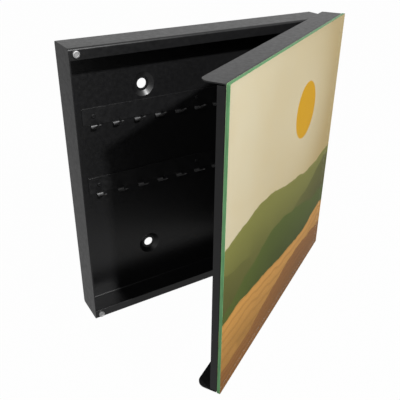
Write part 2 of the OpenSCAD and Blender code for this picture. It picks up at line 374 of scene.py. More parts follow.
class KeyBoxStage(bpy.types.PropertyGroup):
    """Light, floor and camera."""

    room_light: FloatProperty(
        name="Room light",
        description="Strength of the even light from all round",
        default=0.25,
        min=0.0,
        max=2.0,
    )
    room_mirrored: FloatProperty(
        name="Mirrored room",
        description="Share of the room's white that gloss and metal mirror",
        default=0.52,
        min=0.0,
        max=1.0,
    )
    floor_glow: FloatProperty(
        name="Floor white",
        description="Share of plain white in the floor that the camera sees",
        default=0.985,
        min=0.0,
        max=1.0,
    )
    floor_mirrored: FloatProperty(
        name="Mirrored floor",
        description="Share of the floor's white that gloss and metal mirror",
        default=0.28,
        min=0.0,
        max=1.0,
    )
    key_power: FloatProperty(
        name="Key light",
        description="Power of the lamp above the front",
        default=58.0,
        min=0.0,
        unit="POWER",
    )
    key_direction: FloatVectorProperty(
        name="Key direction",
        description="Direction from the origin to this lamp",
        subtype="DIRECTION",
        default=(0.0237, -0.8135, 0.5811),
    )
    key_distance: FloatProperty(
        name="Key distance",
        description="Distance of this lamp from the origin",
        default=2.22,
        unit="LENGTH",
    )
    key_size: FloatProperty(
        name="Key size",
        description="Side of this lamp's square",
        default=0.09,
        unit="LENGTH",
    )
    fill_power: FloatProperty(
        name="Fill light",
        description="Power of the weak lamp beside the camera",
        default=6.0,
        min=0.0,
        unit="POWER",
    )
    fill_direction: FloatVectorProperty(
        name="Fill direction",
        description="Direction from the origin to this lamp",
        subtype="DIRECTION",
        default=(-0.55, -0.65, 0.5),
    )
    fill_distance: FloatProperty(
        name="Fill distance",
        description="Distance of this lamp from the origin",
        default=1.7,
        unit="LENGTH",
    )
    fill_size: FloatProperty(
        name="Fill size",
        description="Side of this lamp's square",
        default=0.35,
        unit="LENGTH",
    )
    floor_gap: FloatProperty(
        name="Floor",
        description="Height of the object above the floor",
        default=0.12,
        unit="LENGTH",
    )
    camera_place: FloatVectorProperty(
        name="Camera",
        description="Place of the camera",
        subtype="TRANSLATION",
        default=(-0.294523, -0.497997, 0.262611),
    )
    camera_azimuth: FloatProperty(
        name="Azimuth",
        description="Side from which the camera looks",
        subtype="ANGLE",
        default=math.radians(-31.299),
    )
    camera_elevation: FloatProperty(
        name="Elevation",
        description="Height from which the camera looks",
        subtype="ANGLE",
        default=math.radians(28.464),
    )
    camera_roll: FloatProperty(
        name="Roll",
        description="Turn of the camera about its own axis",
        subtype="ANGLE",
        default=math.radians(0.52),
    )
    camera_lens: FloatProperty(
        name="Lens",
        description="Focal length on a 36 mm sensor, in millimetres",
        default=49.606,
    )
    camera_shift: FloatVectorProperty(
        name="Shift",
        description="Shift of the lens, as shares of the picture's width",
        size=2,
        default=(-0.0001, -0.0129),
    )


def mesh_points(mesh):
    """Points of a mesh as an array of rows x, y, z."""
    flat = np.empty(len(mesh.vertices) * 3, np.float32)
    mesh.vertices.foreach_get("co", flat)
    return flat.reshape(-1, 3).astype(float)


def open_door(points):
    """Turns points of the shut door about the upright hinge axis to where the door stands at rest."""
    return (points - hinge_axis) @ door_turn.T + hinge_axis


def shut_door(points):
    """Turns points of the door at rest back about the hinge axis to the shut door."""
    return (points - hinge_axis) @ door_turn + hinge_axis


def shut_box(node):
    """Lowest and highest corner of a door node when the door is shut."""
    points = shut_door(mesh_points(frame["nodes"][node].data))
    return points.min(0), points.max(0)


def grid_quads(rows, columns, wrap_rows, wrap_columns):
    """Corners of the quads of a grid stored row by row; a wrapped side joins its last line to its first."""
    row_gaps = rows if wrap_rows else rows - 1
    column_gaps = columns if wrap_columns else columns - 1
    i, j = np.meshgrid(np.arange(row_gaps), np.arange(column_gaps), indexing="ij")
    below = (i + 1) % rows
    beside = (j + 1) % columns
    corners = [i * columns + j, i * columns + beside, below * columns + beside, below * columns + j]
    return np.stack(corners, -1).reshape(-1, 4)


def make_piece(name, grids, body, materials, replaced=(), bands=None, sharp=35.0):
    """Joins grids of points into one mesh piece that rides on a body.

    A grid is (points, wrap_rows, wrap_columns). Points that meet at poles and seams are merged. bands gives
    each gap between rows its material, repeated for every grid. Edges over sharp degrees stay sharp.
    """
    points = []
    quads = []
    slots = []
    first = 0
    for grid, wrap_rows, wrap_columns in grids:
        rows, columns = grid.shape[:2]
        faces = grid_quads(rows, columns, wrap_rows, wrap_columns)
        gaps = rows if wrap_rows else rows - 1
        chosen = np.zeros(gaps, int) if bands is None else np.array(bands)
        points.append(grid.reshape(-1, 3))
        quads.append(faces + first)
        slots.append(np.repeat(chosen, len(faces) // gaps))
        first += rows * columns
    mesh = bpy.data.meshes.new(name)
    mesh.from_pydata(np.concatenate(points).tolist(), [], np.concatenate(quads).tolist())
    for material in materials:
        mesh.materials.append(material)
    mesh.polygons.foreach_set("material_index", np.concatenate(slots).astype(np.int32))
    work = bmesh.new()
    work.from_mesh(mesh)
    bmesh.ops.remove_doubles(work, verts=work.verts, dist=MERGE_DISTANCE)
    bmesh.ops.recalc_face_normals(work, faces=work.faces)
    work.to_mesh(mesh)
    work.free()
    mesh.shade_smooth()
    mesh.set_sharp_from_angle(angle=math.radians(sharp))
    piece = bpy.data.objects.new(name, mesh)
    bpy.context.scene.collection.objects.link(piece)
    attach(piece, body)
    if replaced:
        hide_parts(*replaced)
    return piece


def full_turn(steps):
    """Angles evenly round a full turn, without the last, which is the first again."""
    return np.linspace(0.0, 2.0 * np.pi, steps, endpoint=False)


def lathe(profile, centre, axis, steps=48):
    """Profile turned about an axis: point = centre + h axis + r (cos t u + sin t v).

    The profile lists r and h. The axis is a unit vector along X, Y or Z, and u and v are the two other axes.
    """
    r, h = np.array(profile, float).T
    axis = np.array(axis, float)
    u = np.roll(np.abs(axis), 1)
    v = np.cross(axis, u)
    t = full_turn(steps)
    round_t = np.cos(t)[:, None] * u + np.sin(t)[:, None] * v
    points = np.array(centre, float) + h[:, None, None] * axis + r[:, None, None] * round_t[None]
    return points, False, True


def arc(r0, h0, r1, h1, steps=7):
    """Quarter of an ellipse from (r0, h0), upright at first, to (r1, h1), level at last."""
    t = np.linspace(0.0, np.pi / 2.0, steps)
    return list(zip(r1 + (r0 - r1) * np.cos(t), h0 + (h1 - h0) * np.sin(t)))


def round_outline(width, height, radius, per_corner=6):
    """Points and outward directions round a rectangle with round corners, corner by corner."""
    t = np.linspace(0.0, np.pi / 2.0, per_corner)
    angles = (t[None] + np.arange(4)[:, None] * np.pi / 2.0).ravel()
    signs = np.repeat(np.array([[1, 1], [-1, 1], [-1, -1], [1, -1]]), per_corner, axis=0)
    outward = np.stack([np.cos(angles), np.sin(angles)], -1)
    centres = signs * (np.array([width, height]) / 2.0 - radius)
    return centres + radius * outward, outward


def slab(low, high, corner, arris):
    """Flat slab between two corners of a box, as rings round its outline from the front to the back.

    The rings are the front's middle, the front inside its bevel, the side's two edges and the back's middle.
    """
    middle = (low + high) / 2.0
    outline, outward = round_outline(high[0] - low[0], high[2] - low[2], corner)
    inset = np.array([0.0, arris, 0.0, 0.0, 0.0])
    shown = np.array([0.0, 1.0, 1.0, 1.0, 0.0])
    depth = np.array([low[1], low[1], low[1] + arris, high[1], high[1]])
    flat = (outline[None] - inset[:, None, None] * outward[None]) * shown[:, None, None]
    points = np.empty((len(depth), len(outline), 3))
    points[..., 0] = middle[0] + flat[..., 0]
    points[..., 1] = depth[:, None]
    points[..., 2] = middle[2] + flat[..., 1]
    return points


def rings(centre, r, y, t):
    """Rings about an axis along Y: x = centre x + r cos t and z = centre z + r sin t, at each depth y."""
    points = np.empty((len(y), len(t), 3))
    points[..., 0] = centre[0] + r * np.cos(t)
    points[..., 1] = y[:, None]
    points[..., 2] = centre[2] + r * np.sin(t)
    return points


def hex_nut(centre, flats, thickness, bore, steps=72):
    """Nut with its axis along Y: r runs from the bore over a chamfered face to the hexagon and back.

    The hexagon is apothem / cos(angle to the middle of a flat). A cone cuts it at both faces: its radius is
    chamfer_start times the apothem at the face, and grows by chamfer_slope for each unit of depth.
    """
    chamfer_start = 0.97
    chamfer_slope = 1.75
    t = full_turn(steps)
    apothem = flats / 2.0
    side = apothem / np.cos(np.mod(t, np.pi / 3.0) - np.pi / 6.0)
    depth = np.array([0.0, 0.0, 0.08, 0.16, 0.24, 0.76, 0.84, 0.92, 1.0, 1.0]) * thickness
    outside = np.array([0, 1, 1, 1, 1, 1, 1, 1, 1, 0], bool)
    from_face = np.minimum(depth, thickness - depth)
    cone = apothem * chamfer_start + from_face * chamfer_slope
    r = np.where(outside[:, None], np.minimum(side[None], cone[:, None]), bore)
    return rings(centre, r, centre[1] + (depth - thickness / 2.0), t)


def stud_thread(centre, radius, start, end, pitch, steps=36, rows=41):
    """Thread along Y: r = radius + depth times a triangle wave of (y / pitch - turn).

    It fades out at both ends, where it sinks a little into the stud.
    """
    sink = 0.00003
    depth = 0.12 * pitch
    fading = 0.2 * pitch
    t = full_turn(steps)
    y = np.linspace(start, end, rows)
    wave = np.abs(np.mod(y[:, None] / pitch - t[None] / (2.0 * np.pi), 1.0) - 0.5) * 2.0
    fade = np.clip(np.minimum(y - start, end - y) / fading, 0.0, 1.0)
    r = radius - sink + (sink + wave * depth) * fade[:, None]
    return rings(centre, r, y, t)


def feed(tree, value, target):
    """Links a socket to a target, or writes a plain value there."""
    if isinstance(value, bpy.types.NodeSocket):
        tree.links.new(value, target)
    else:
        target.default_value = value


def arithmetic(tree, operation, *values):
    """Math node on sockets and numbers."""
    node = tree.nodes.new("ShaderNodeMath")
    node.operation = operation
    for value, target in zip(values, node.inputs):
        feed(tree, value, target)
    return node.outputs["Value"]


class Shader:
    """A new node material with a principled surface, and the few node patterns that the finishes share."""

    def __init__(self, name):
        self.material = bpy.data.materials.new(name)
        self.material.use_nodes = True
        self.tree = self.material.node_tree
        self.tree.nodes.clear()
        self.out = self.add("ShaderNodeOutputMaterial")
        self.surface = self.add("ShaderNodeBsdfPrincipled")
        self.link(self.surface.outputs["BSDF"], self.out.inputs["Surface"])
        self.place = self.add("ShaderNodeTexCoord")

    def add(self, kind):
        """New node of a kind."""
        return self.tree.nodes.new(kind)

    def link(self, source, target):
        """Joins two sockets."""
        self.tree.links.new(source, target)

    def plain(self, socket, value):
        """Sets a socket of the principled surface to one value all over."""
        self.surface.inputs[socket].default_value = value

    def paint(self, socket, source):
        """Links a pattern to a socket of the principled surface."""
        self.link(source, self.surface.inputs[socket])

    def axes(self, coordinates):
        """Object or UV coordinates as separate sockets X, Y and Z."""
        node = self.add("ShaderNodeSeparateXYZ")
        self.link(self.place.outputs[coordinates], node.inputs["Vector"])
        return node.outputs

    def noise(self, scale, detail=2.0, stretch=None, coordinates="Object"):
        """Noise on object or UV coordinates, stretched by a mapping where one is given."""
        node = self.add("ShaderNodeTexNoise")
        node.inputs["Scale"].default_value = scale
        node.inputs["Detail"].default_value = detail
        source = self.place.outputs[coordinates]
        if stretch:
            mapping = self.add("ShaderNodeMapping")
            mapping.inputs["Scale"].default_value = stretch
            self.link(source, mapping.inputs["Vector"])
            source = mapping.outputs["Vector"]
        self.link(source, node.inputs["Vector"])
        return node.outputs["Fac"]

    def spread(self, value, low, high, start=0.0, end=1.0):
        """Maps a value from start..end to low..high, held at both ends."""
        node = self.add("ShaderNodeMapRange")
        feed(self.tree, value, node.inputs["Value"])
        node.inputs["From Min"].default_value = start
        node.inputs["From Max"].default_value = end
        node.inputs["To Min"].default_value = low
        node.inputs["To Max"].default_value = high
        return node.outputs["Result"]

    def vary(self, noise, low=0.0, high=1.0):
        """Maps a noise to low..high over its usual span, so that it reaches both ends."""
        return self.spread(noise, low, high, NOISE_LOW, NOISE_HIGH)

    def math(self, operation, *values):
        """Arithmetic on sockets and numbers."""
        return arithmetic(self.tree, operation, *values)

    def mix(self, share, first, second, kind="MIX"):
        """Blends two colours by a share.

        A mix node lists the sockets of all types: 0 is the share, 6 and 7 the colours, and 2 the result.
        """
        node = self.add("ShaderNodeMix")
        node.data_type = "RGBA"
        node.blend_type = kind
        feed(self.tree, share, node.inputs[0])
        for colour, target in ((first, node.inputs[6]), (second, node.inputs[7])):
            is_socket = isinstance(colour, bpy.types.NodeSocket)
            feed(self.tree, colour if is_socket else (*colour, 1.0), target)
        return node.outputs[2]

    def mottle(self, share, colour, first, second):
        """Blends two tones of a colour, given as factors, by a share."""
        return self.mix(share, tone(colour, first), tone(colour, second))

    def blend(self, share, first, second):
        """Blends two shaders by a share."""
        node = self.add("ShaderNodeMixShader")
        feed(self.tree, share, node.inputs["Fac"])
        self.link(first, node.inputs[1])
        self.link(second, node.inputs[2])
        return node.outputs["Shader"]

    def bump(self, height, strength, distance, edge=0.0):
        """Bumps the principled surface by a height, over edges rounded to a radius where one is given."""
        node = self.add("ShaderNodeBump")
        if edge:
            rounded = self.add("ShaderNodeBevel")
            rounded.inputs["Radius"].default_value = edge
            self.link(rounded.outputs["Normal"], node.inputs["Normal"])
        node.inputs["Strength"].default_value = strength
        node.inputs["Distance"].default_value = distance
        self.link(height, node.inputs["Height"])
        self.link(node.outputs["Normal"], self.surface.inputs["Normal"])


def tone(colour, factor):
    """A colour made lighter or darker by a factor."""
    return tuple(channel * factor for channel in colour)


def powder_coat(name, look, roughness, gloss, edge=1.0, wear_and_highlight_front=None):
    """Powder coat: slow tone drift, cloudy roughness and an orange-peel bump.

    edge scales the radius of the painted edges. In front of the Y wear_and_highlight_front, the paint is
    duller where what hangs there wears it, and greyer by worn paint and a painted highlight on the hooks;
    behind it this fades out over wear_and_highlight_fade.
    """
    wear_and_highlight_fade = 0.001
    peel_depth = 0.00006
    s = Shader(name)
    s.plain("Specular IOR Level", gloss)
    coat = s.mottle(s.vary(s.noise(scale=14.0, detail=4.0)), look.paint_colour, 0.85, 1.2)
    cloud = s.noise(scale=260.0, detail=3.0)
    finish = s.vary(cloud, roughness - 0.04, roughness + 0.06)
    if wear_and_highlight_front is not None:
        rubbed_and_highlit = s.spread(s.axes("Object")["Y"], 1.0, 0.0, wear_and_highlight_front, wear_and_highlight_front + wear_and_highlight_fade)
        finish = s.math("MULTIPLY_ADD", rubbed_and_highlit, look.worn_roughness - roughness, finish)
        # Greyer paint on the hooks: partly worn paint, partly a painted highlight that lightens the hook
        # bends.
        coat = s.mix(s.math("MULTIPLY", rubbed_and_highlit, s.vary(cloud, 0.7, 1.0)), coat, look.wear_and_highlight_colour)
    s.paint("Base Color", coat)
    s.paint("Roughness", finish)
    peel = s.noise(scale=1.0 / look.peel_size)
    s.bump(peel, strength=0.35, distance=peel_depth, edge=look.edge_round * edge)
    return s.material


def plated(name, colour, low, high, stretch):
    """Plated metal: drawn streaks in tone, roughness from low to high, and a fine bump."""
    streak_depth = 0.00003
    s = Shader(name)
    s.plain("Metallic", 1.0)
    streak = s.noise(scale=1.0, detail=4.0, stretch=stretch)
    s.paint("Base Color", s.mottle(s.vary(streak), colour, 0.86, 1.1))
    s.paint("Roughness", s.vary(s.noise(scale=420.0, detail=3.0), low, high))
    s.bump(streak, strength=0.1, distance=streak_depth)
    return s.material


def nylon(name, colour):
    """Cloudy moulded nylon."""
    s = Shader(name)
    cloud = s.noise(scale=500.0, detail=3.0)
    s.paint("Base Color", s.mottle(cloud, colour, 0.92, 1.06))
    s.paint("Roughness", s.spread(cloud, 0.38, 0.55))
    s.plain("Subsurface Weight", 0.1)
    s.plain("Subsurface Radius", (0.001, 0.001, 0.0008))
    return s.material


def foam(name, colour):
    """Matt foam of the tapes, with open cells."""
    cell_depth = 0.0001
    s = Shader(name)
    cells = s.add("ShaderNodeTexVoronoi")
    cells.inputs["Scale"].default_value = 2200.0
    s.link(s.place.outputs["Object"], cells.inputs["Vector"])
    s.paint("Base Color", s.mottle(cells.outputs["Distance"], colour, 0.7, 1.3))
    s.paint("Roughness", s.spread(s.noise(scale=700.0), 0.8, 0.95))
    s.bump(cells.outputs["Distance"], strength=0.5, distance=cell_depth)
    return s.material


def clear_glass(name, index):
    """Clear face of the glass: see-through, with a mirror share by Fresnel and faint wipe marks.

    The mirror is on the outside only.
    """
    s = Shader(name)
    s.tree.nodes.remove(s.surface)
    fresnel = s.add("ShaderNodeFresnel")
    fresnel.inputs["IOR"].default_value = index
    geometry = s.add("ShaderNodeNewGeometry")
    outside = s.math("SUBTRACT", 1.0, geometry.outputs["Backfacing"])
    clear = s.add("ShaderNodeBsdfTransparent")
    clear.inputs["Color"].default_value = (0.97, 0.99, 0.975, 1.0)
    gloss = s.add("ShaderNodeBsdfGlossy")
    gloss.inputs["Color"].default_value = WHITE
    wiped = s.noise(scale=9.0, detail=5.0, stretch=(1.0, 1.0, 3.0))
    s.link(s.spread(wiped, 0.01, 0.06, start=0.35, end=0.75), gloss.inputs["Roughness"])
    share = s.math("MULTIPLY", fresnel.outputs["Fac"], outside)
    s.link(s.blend(share, clear.outputs["BSDF"], gloss.outputs["BSDF"]), s.out.inputs["Surface"])
    return s.material


def ground_edge(name, colour):
    """Ground edge of the glass: green outside, and a mirror inside, where the edge reflects the picture.

    Light that bounces off the picture leaves through the edge, so the mirror throws no bright specks on it.
    """
    streak_depth = 0.00003
    s = Shader(name)
    streak = s.noise(scale=1.0, detail=3.0, stretch=(60.0, 900.0, 60.0))
    s.paint("Base Color", s.mottle(s.vary(streak), colour, 0.8, 1.25))
    s.paint("Roughness", s.vary(s.noise(scale=600.0), 0.2, 0.34))
    s.plain("Specular IOR Level", 0.04)
    s.bump(streak, strength=0.15, distance=streak_depth)
    mirror = s.add("ShaderNodeBsdfGlossy")
    mirror.inputs["Roughness"].default_value = 0.0
    mirror.inputs["Color"].default_value = (0.99, 1.0, 0.99, 1.0)
    clear = s.add("ShaderNodeBsdfTransparent")
    path = s.add("ShaderNodeLightPath")
    inside = s.blend(path.outputs["Is Diffuse Ray"], mirror.outputs["BSDF"], clear.outputs["BSDF"])
    geometry = s.add("ShaderNodeNewGeometry")
    whole = s.blend(geometry.outputs["Backfacing"], s.surface.outputs["BSDF"], inside)
    s.link(whole, s.out.inputs["Surface"])
    return s.material


def sky_and_sun(s, colours, u, v, rough):
    """Sky that deepens with u - sky_lean v, and a sun with a glow by the distance from its middle."""
    sky_lean = 0.45
    drift = s.math("MULTIPLY_ADD", v, -sky_lean, u)
    sky = s.mix(s.spread(drift, 0.0, 1.0, start=-0.3, end=0.8), colours.sky_pale, colours.sky_deep)
    sky = s.mix(s.spread(rough, 0.0, 0.16, start=0.35, end=0.7), sky, tone(colours.sky_deep, 1.25))
    across = s.math("SUBTRACT", u, SUN_PLACE[0])
    above = s.math("SUBTRACT", v, SUN_PLACE[1])
    squares = s.math("ADD", s.math("MULTIPLY", across, across), s.math("MULTIPLY", above, above))
    reach = s.math("SQRT", squares)
    sky = s.mix(s.spread(reach, 0.45, 0.0, *SUN_GLOW), sky, tone(colours.sky_pale, 1.12))
    disc = s.spread(reach, 1.0, 0.0, SUN_RADIUS - PRINT_SOFT, SUN_RADIUS + PRINT_SOFT)
    return s.mix(disc, sky, colours.sun_colour)


def hills_and_sun(name, colours):
    """Printed landscape on the sheet's own UV map: u from the free side to the hinge side, v upwards.

    Each ridge is v = level + swing sin(turns u + start) + a little noise. What lies below it takes the
    ridge's colour, lighter along the crest, and furrows follow the crest down the fields.
    """
    ridge_noise = 0.05
    s = Shader(name)
    axes = s.axes("UV")
    u = axes["X"]
    v = axes["Y"]
    rough = s.noise(scale=9.0, detail=8.0, coordinates="UV")
    picture = sky_and_sun(s, colours, u, v, rough)
    for level, swing, turns, start, colour_name, shade, furrows in RIDGES:
        colour = tone(getattr(colours, colour_name), shade)
        wave = s.math("SINE", s.math("MULTIPLY_ADD", u, turns, start))
        ground = s.math("MULTIPLY_ADD", rough, ridge_noise, level - ridge_noise / 2.0)
        under = s.math("SUBTRACT", s.math("MULTIPLY_ADD", wave, swing, ground), v)
        body = s.mottle(s.spread(under, 0.0, 1.0, start=0.0, end=0.16), colour, 1.35, 0.8)
        body = s.mix(s.spread(rough, 0.0, 0.5, start=0.4, end=0.7), body, tone(colour, 1.25))
        if furrows:
            down = s.math("POWER", s.math("MAXIMUM", under, 0.0), 0.8)
            lines = s.math("SINE", s.math("MULTIPLY", down, furrows))
            body = s.mix(s.spread(lines, 0.0, 0.35, start=0.2), body, tone(colour, 0.6))
        picture = s.mix(s.spread(under, 0.0, 1.0, -PRINT_SOFT, PRINT_SOFT), picture, body)
    fine = s.noise(scale=420.0, detail=3.0, coordinates="UV")
    speck = s.mottle(s.vary(fine), WHITE[:3], 0.97, 1.0)
    s.paint("Base Color", s.mix(1.0, picture, speck, "MULTIPLY"))
    s.paint("Roughness", s.spread(fine, 0.55, 0.7))
    s.plain("Specular IOR Level", 0.0)
    return s.material


def paint_nodes(material, names):
    """Gives CAD nodes a material in place of their own."""
    for name in names:
        slots = frame["nodes"][name].data.materials
        slots.clear()
        slots.append(material)


class KEYBOX_OT_sheet_metal(bpy.types.Operator):
    """Powder-coats the case, the hook strips, the hinge brackets and the door pan"""

    bl_idname = "key_box.sheet_metal"
    bl_label = "Sheet metal"

    def execute(self, context):
        look = context.scene.key_box_finishes
        roughness = look.paint_roughness
        strip_edge = 0.4
        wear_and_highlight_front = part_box("upper_strip_rivets")[0].y
        case = powder_coat("case_powder_coat", look, roughness, look.paint_gloss)
        strips = powder_coat("strip_powder_coat", look, roughness, look.strip_gloss, strip_edge, wear_and_highlight_front)
        door = powder_coat("door_powder_coat", look, roughness, look.paint_gloss)
        paint_nodes(case, ("case_tray", "upper_hinge_bracket", "lower_hinge_bracket"))
        paint_nodes(strips, ("upper_hook_strip", "lower_hook_strip"))
        paint_nodes(door, ("door_pan",))
        return {"FINISHED"}


class KEYBOX_OT_hinge_arms(bpy.types.Operator):
    """Gives the swan-neck arms their zinc plating, drawn along their length"""

    bl_idname = "key_box.hinge_arms"
    bl_label = "Hinge arms"

    def execute(self, context):
        look = context.scene.key_box_finishes
        zinc = plated("arm_zinc", look.zinc_colour, low=0.28, high=0.42, stretch=(120.0, 120.0, 1600.0))
        paint_nodes(zinc, ("upper_hinge_arm", "lower_hinge_arm"))
        return {"FINISHED"}


class KEYBOX_OT_tapes(bpy.types.Operator):
    """Gives the adhesive tapes between the picture and the door pan their foam"""

    bl_idname = "key_box.tapes"
    bl_label = "Adhesive tapes"

    def execute(self, context):
        look = context.scene.key_box_finishes
        paint_nodes(foam("tape_foam", look.tape_colour), ("adhesive_tapes",))
        return {"FINISHED"}


class KEYBOX_OT_glass(bpy.types.Operator):
    """Makes the glass pane with round corners and a ground bevel on its edges"""

    bl_idname = "key_box.glass"
    bl_label = "Glass pane"

    def execute(self, context):
        look = context.scene.key_box_finishes
        sizes = context.scene.key_box_details
        low, high = shut_box("glass_panel")
        pane = open_door(slab(low, high, sizes.glass_corner, sizes.glass_arris))
        finishes = [
            clear_glass("glass_face", look.glass_index),
            ground_edge("glass_edge", look.glass_edge_colour),
        ]
        grids = [(pane, False, True)]
        bands = [0, 1, 1, 0]
        make_piece("glass_pane", grids, "door", finishes, ("glass_panel",), bands, sharp=20.0)
        return {"FINISHED"}


class KEYBOX_OT_picture(bpy.types.Operator):
    """Makes the printed sheet behind the glass, with its own UV map for the picture"""

    bl_idname = "key_box.picture"
    bl_label = "Picture"

    def execute(self, context):
        colours = context.scene.key_box_picture
        low, high = shut_box("print_film")
        pane_low, pane_high = shut_box("glass_panel")
        flat_axes = [0, 2]
        low[flat_axes] = pane_low[flat_axes]
        high[flat_axes] = pane_high[flat_axes]
        low[1] += HAIR
        sheet_arris = 0.00004
        sheet = slab(low, high, context.scene.key_box_details.glass_corner, sheet_arris)
        finishes = [hills_and_sun("picture_print", colours), nylon("picture_backing", colours.backing)]
        grids = [(open_door(sheet), False, True)]
        bands = [0, 0, 1, 1]
        piece = make_piece("picture_sheet", grids, "door", finishes, ("print_film",), bands)
        mesh = piece.data
        corners = np.empty(len(mesh.loops), np.int32)
        mesh.loops.foreach_get("vertex_index", corners)
        flat = shut_door(mesh_points(mesh))[corners][:, flat_axes]
        uv = (flat - low[flat_axes]) / (high - low)[flat_axes]
        mesh.uv_layers.new(name="picture").data.foreach_set("uv", uv.astype(np.float32).ravel())
        return {"FINISHED"}


class KEYBOX_OT_magnets(bpy.types.Operator):
    """Makes the two nickel magnets, with a bevelled rim and a shallow dish"""

    bl_idname = "key_box.magnets"
    bl_label = "Magnets"

    def execute(self, context):
        look = context.scene.key_box_finishes
        sizes = context.scene.key_box_details
        nickel = plated("magnet_nickel", look.magnet_colour, low=0.45, high=0.58, stretch=(500.0,) * 3)
        bevel = sizes.magnet_bevel
        belly = bevel * 0.3
        dish = sizes.magnet_dish
        for name in ("upper_magnet", "lower_magnet"):
            low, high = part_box(name)
            middle = (low + high) / 2.0
            r = (high.x - low.x) / 2.0
            tall = high.y - low.y
            dish_rim = r * 0.62
            dish_floor = r * 0.55
            profile = [(0.0, 0.0), (r, 0.0), (r, tall - bevel)]
            profile += [(r - belly, tall - belly), (r - bevel, tall)]
            profile += [(dish_rim, tall), (dish_floor, tall - dish), (0.0, tall - dish)]
            disc = lathe(profile, (middle.x, high.y, middle.z), FRONTWARDS)
            make_piece(name + "_disc", [disc], "case", [nickel], (name,))
        return {"FINISHED"}


class KEYBOX_OT_rivets(bpy.types.Operator):
    """Makes the blind rivets of both strips: domed head with its broken mandrel, shank and upset tail"""

    bl_idname = "key_box.rivets"
    bl_label = "Rivets"

    def execute(self, context):
        look = context.scene.key_box_finishes
        sizes = context.scene.key_box_details
        worn_gloss = look.paint_gloss * 0.4
        paint = powder_coat("rivet_paint", look, look.worn_roughness, worn_gloss)
        shank = sizes.rivet_shank
        tail = sizes.rivet_tail
        head = sizes.rivet_head
        r = shank * RIVET_HEAD
        for name in ("upper_strip_rivets", "lower_strip_rivets"):
            low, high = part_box(name)
            middle = (low + high) / 2.0
            tall = high.y - low.y
            seat = tall - head
            profile = [(shank * out, tail * up) for out, up in RIVET_TAIL]
            profile += [(shank, seat), (r, seat)]
            profile += arc(r, seat + head * 0.15, shank * RIVET_RIM, tall)
            profile += [(shank * out, tall - head * down) for out, down in RIVET_HOLE]
            places = (low.x + r, middle.x, high.x - r)
            rivets = [lathe(profile, (x, high.y, middle.z), FRONTWARDS, steps=32) for x in places]
            make_piece(name + "_set", rivets, "case", [paint], (name,))
        return {"FINISHED"}


class KEYBOX_OT_pins(bpy.types.Operator):
    """Makes the hinge pins with domed heads and peened ends, and the nylon washers with round edges"""

    bl_idname = "key_box.pins"
    bl_label = "Pins and washers"

    def execute(self, context):
        look = context.scene.key_box_finishes
        sizes = context.scene.key_box_details
        zinc = plated("pin_zinc", look.zinc_colour, low=0.2, high=0.34, stretch=(600.0,) * 3)
        white = nylon("washer_nylon", look.washer_colour)
        r = sizes.pin_radius
        bore = sizes.washer_bore
        thick = sizes.washer_thickness
        soft = thick * 0.3
        for side in SIDES:
            low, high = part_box(side + "_hinge_pin")
            middle = (low + high) / 2.0
            tall = high.z - low.z
            wide = (high.x - low.x) / 2.0
            under = tall - sizes.pin_head
            profile = [(r * out, r * up) for out, up in PIN_END]
            profile += [(r, under), (wide, under)]
            profile += arc(wide, under + sizes.pin_head * 0.35, 0.0, tall)
            pin = lathe(profile, (middle.x, middle.y, low.z), UPWARDS)
            make_piece(side + "_pin", [pin], "case", [zinc], (side + "_hinge_pin",))
            node = side + "_hinge_washers"
            low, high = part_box(node)
            wide = (high.x - low.x) / 2.0
            ring = [(bore, soft), (bore + soft, 0.0), (wide - soft, 0.0), (wide, soft), (wide, thick - soft)]
            ring += [(wide - soft, thick), (bore + soft, thick), (bore, thick - soft), (bore, soft)]
            heights = (low.z, high.z - thick)
            washers = [lathe(ring, (middle.x, middle.y, z), UPWARDS) for z in heights]
            make_piece(side + "_washer_pair", washers, "case", [white], (node,))
        return {"FINISHED"}


class KEYBOX_OT_nuts(bpy.types.Operator):
    """Makes the chamfered nuts of the hinge arms and the thread on the studs' ends"""

    bl_idname = "key_box.nuts"
    bl_label = "Nuts and threads"

    def execute(self, context):
        look = context.scene.key_box_finishes
        sizes = context.scene.key_box_details
        zinc = plated("nut_zinc", look.zinc_colour, low=0.24, high=0.38, stretch=(700.0,) * 3)
        inside_nut = 0.0002
        for side in SIDES:
            name = side + "_arm_nuts"
            low, high = shut_box(name)
            flats = high[2] - low[2]
            corner = flats / 2.0 / math.cos(math.pi / 6.0)
            middle = (low + high) / 2.0
            start = high[1] - inside_nut
            end = high[1] + sizes.stud_proud - HAIR
            nuts = []
            threads = []
            for x in (low[0] + corner, high[0] - corner):
                centre = np.array([x, middle[1], middle[2]])
                nut = hex_nut(centre, flats, high[1] - low[1], sizes.nut_bore)
                thread = stud_thread(centre, sizes.stud_radius, start, end, sizes.thread_pitch)
                nuts.append((open_door(nut), True, True))
                threads.append((open_door(thread), False, True))
            make_piece(side + "_nut_pair", nuts, "door", [zinc], (name,), sharp=25.0)
            make_piece(side + "_stud_threads", threads, "door", [zinc])
        return {"FINISHED"}


def seen_rays(tree, mirrored):
    """Share of plain white that rays see: 1 for camera and transmission rays, mirrored for glossy rays."""
    path = tree.nodes.new("ShaderNodeLightPath").outputs
    glossy = arithmetic(tree, "MULTIPLY", path["Is Glossy Ray"], mirrored)
    seen = arithmetic(tree, "MAXIMUM", path["Is Camera Ray"], glossy)
    return arithmetic(tree, "MAXIMUM", seen, path["Is Transmission Ray"])


def pale_room(name, light, mirrored):
    """World whose strength runs from light, for what it lights, to 1, for what sees it (seen_rays)."""
    world = bpy.data.worlds.new(name)
    world.use_nodes = True
    tree = world.node_tree
    background = tree.nodes["Background"]
    background.inputs["Color"].default_value = WHITE
    level = tree.nodes.new("ShaderNodeMapRange")
    tree.links.new(seen_rays(tree, mirrored), level.inputs["Value"])
    level.inputs["To Min"].default_value = light
    level.inputs["To Max"].default_value = 1.0
    tree.links.new(level.outputs["Result"], background.inputs["Strength"])
    return world


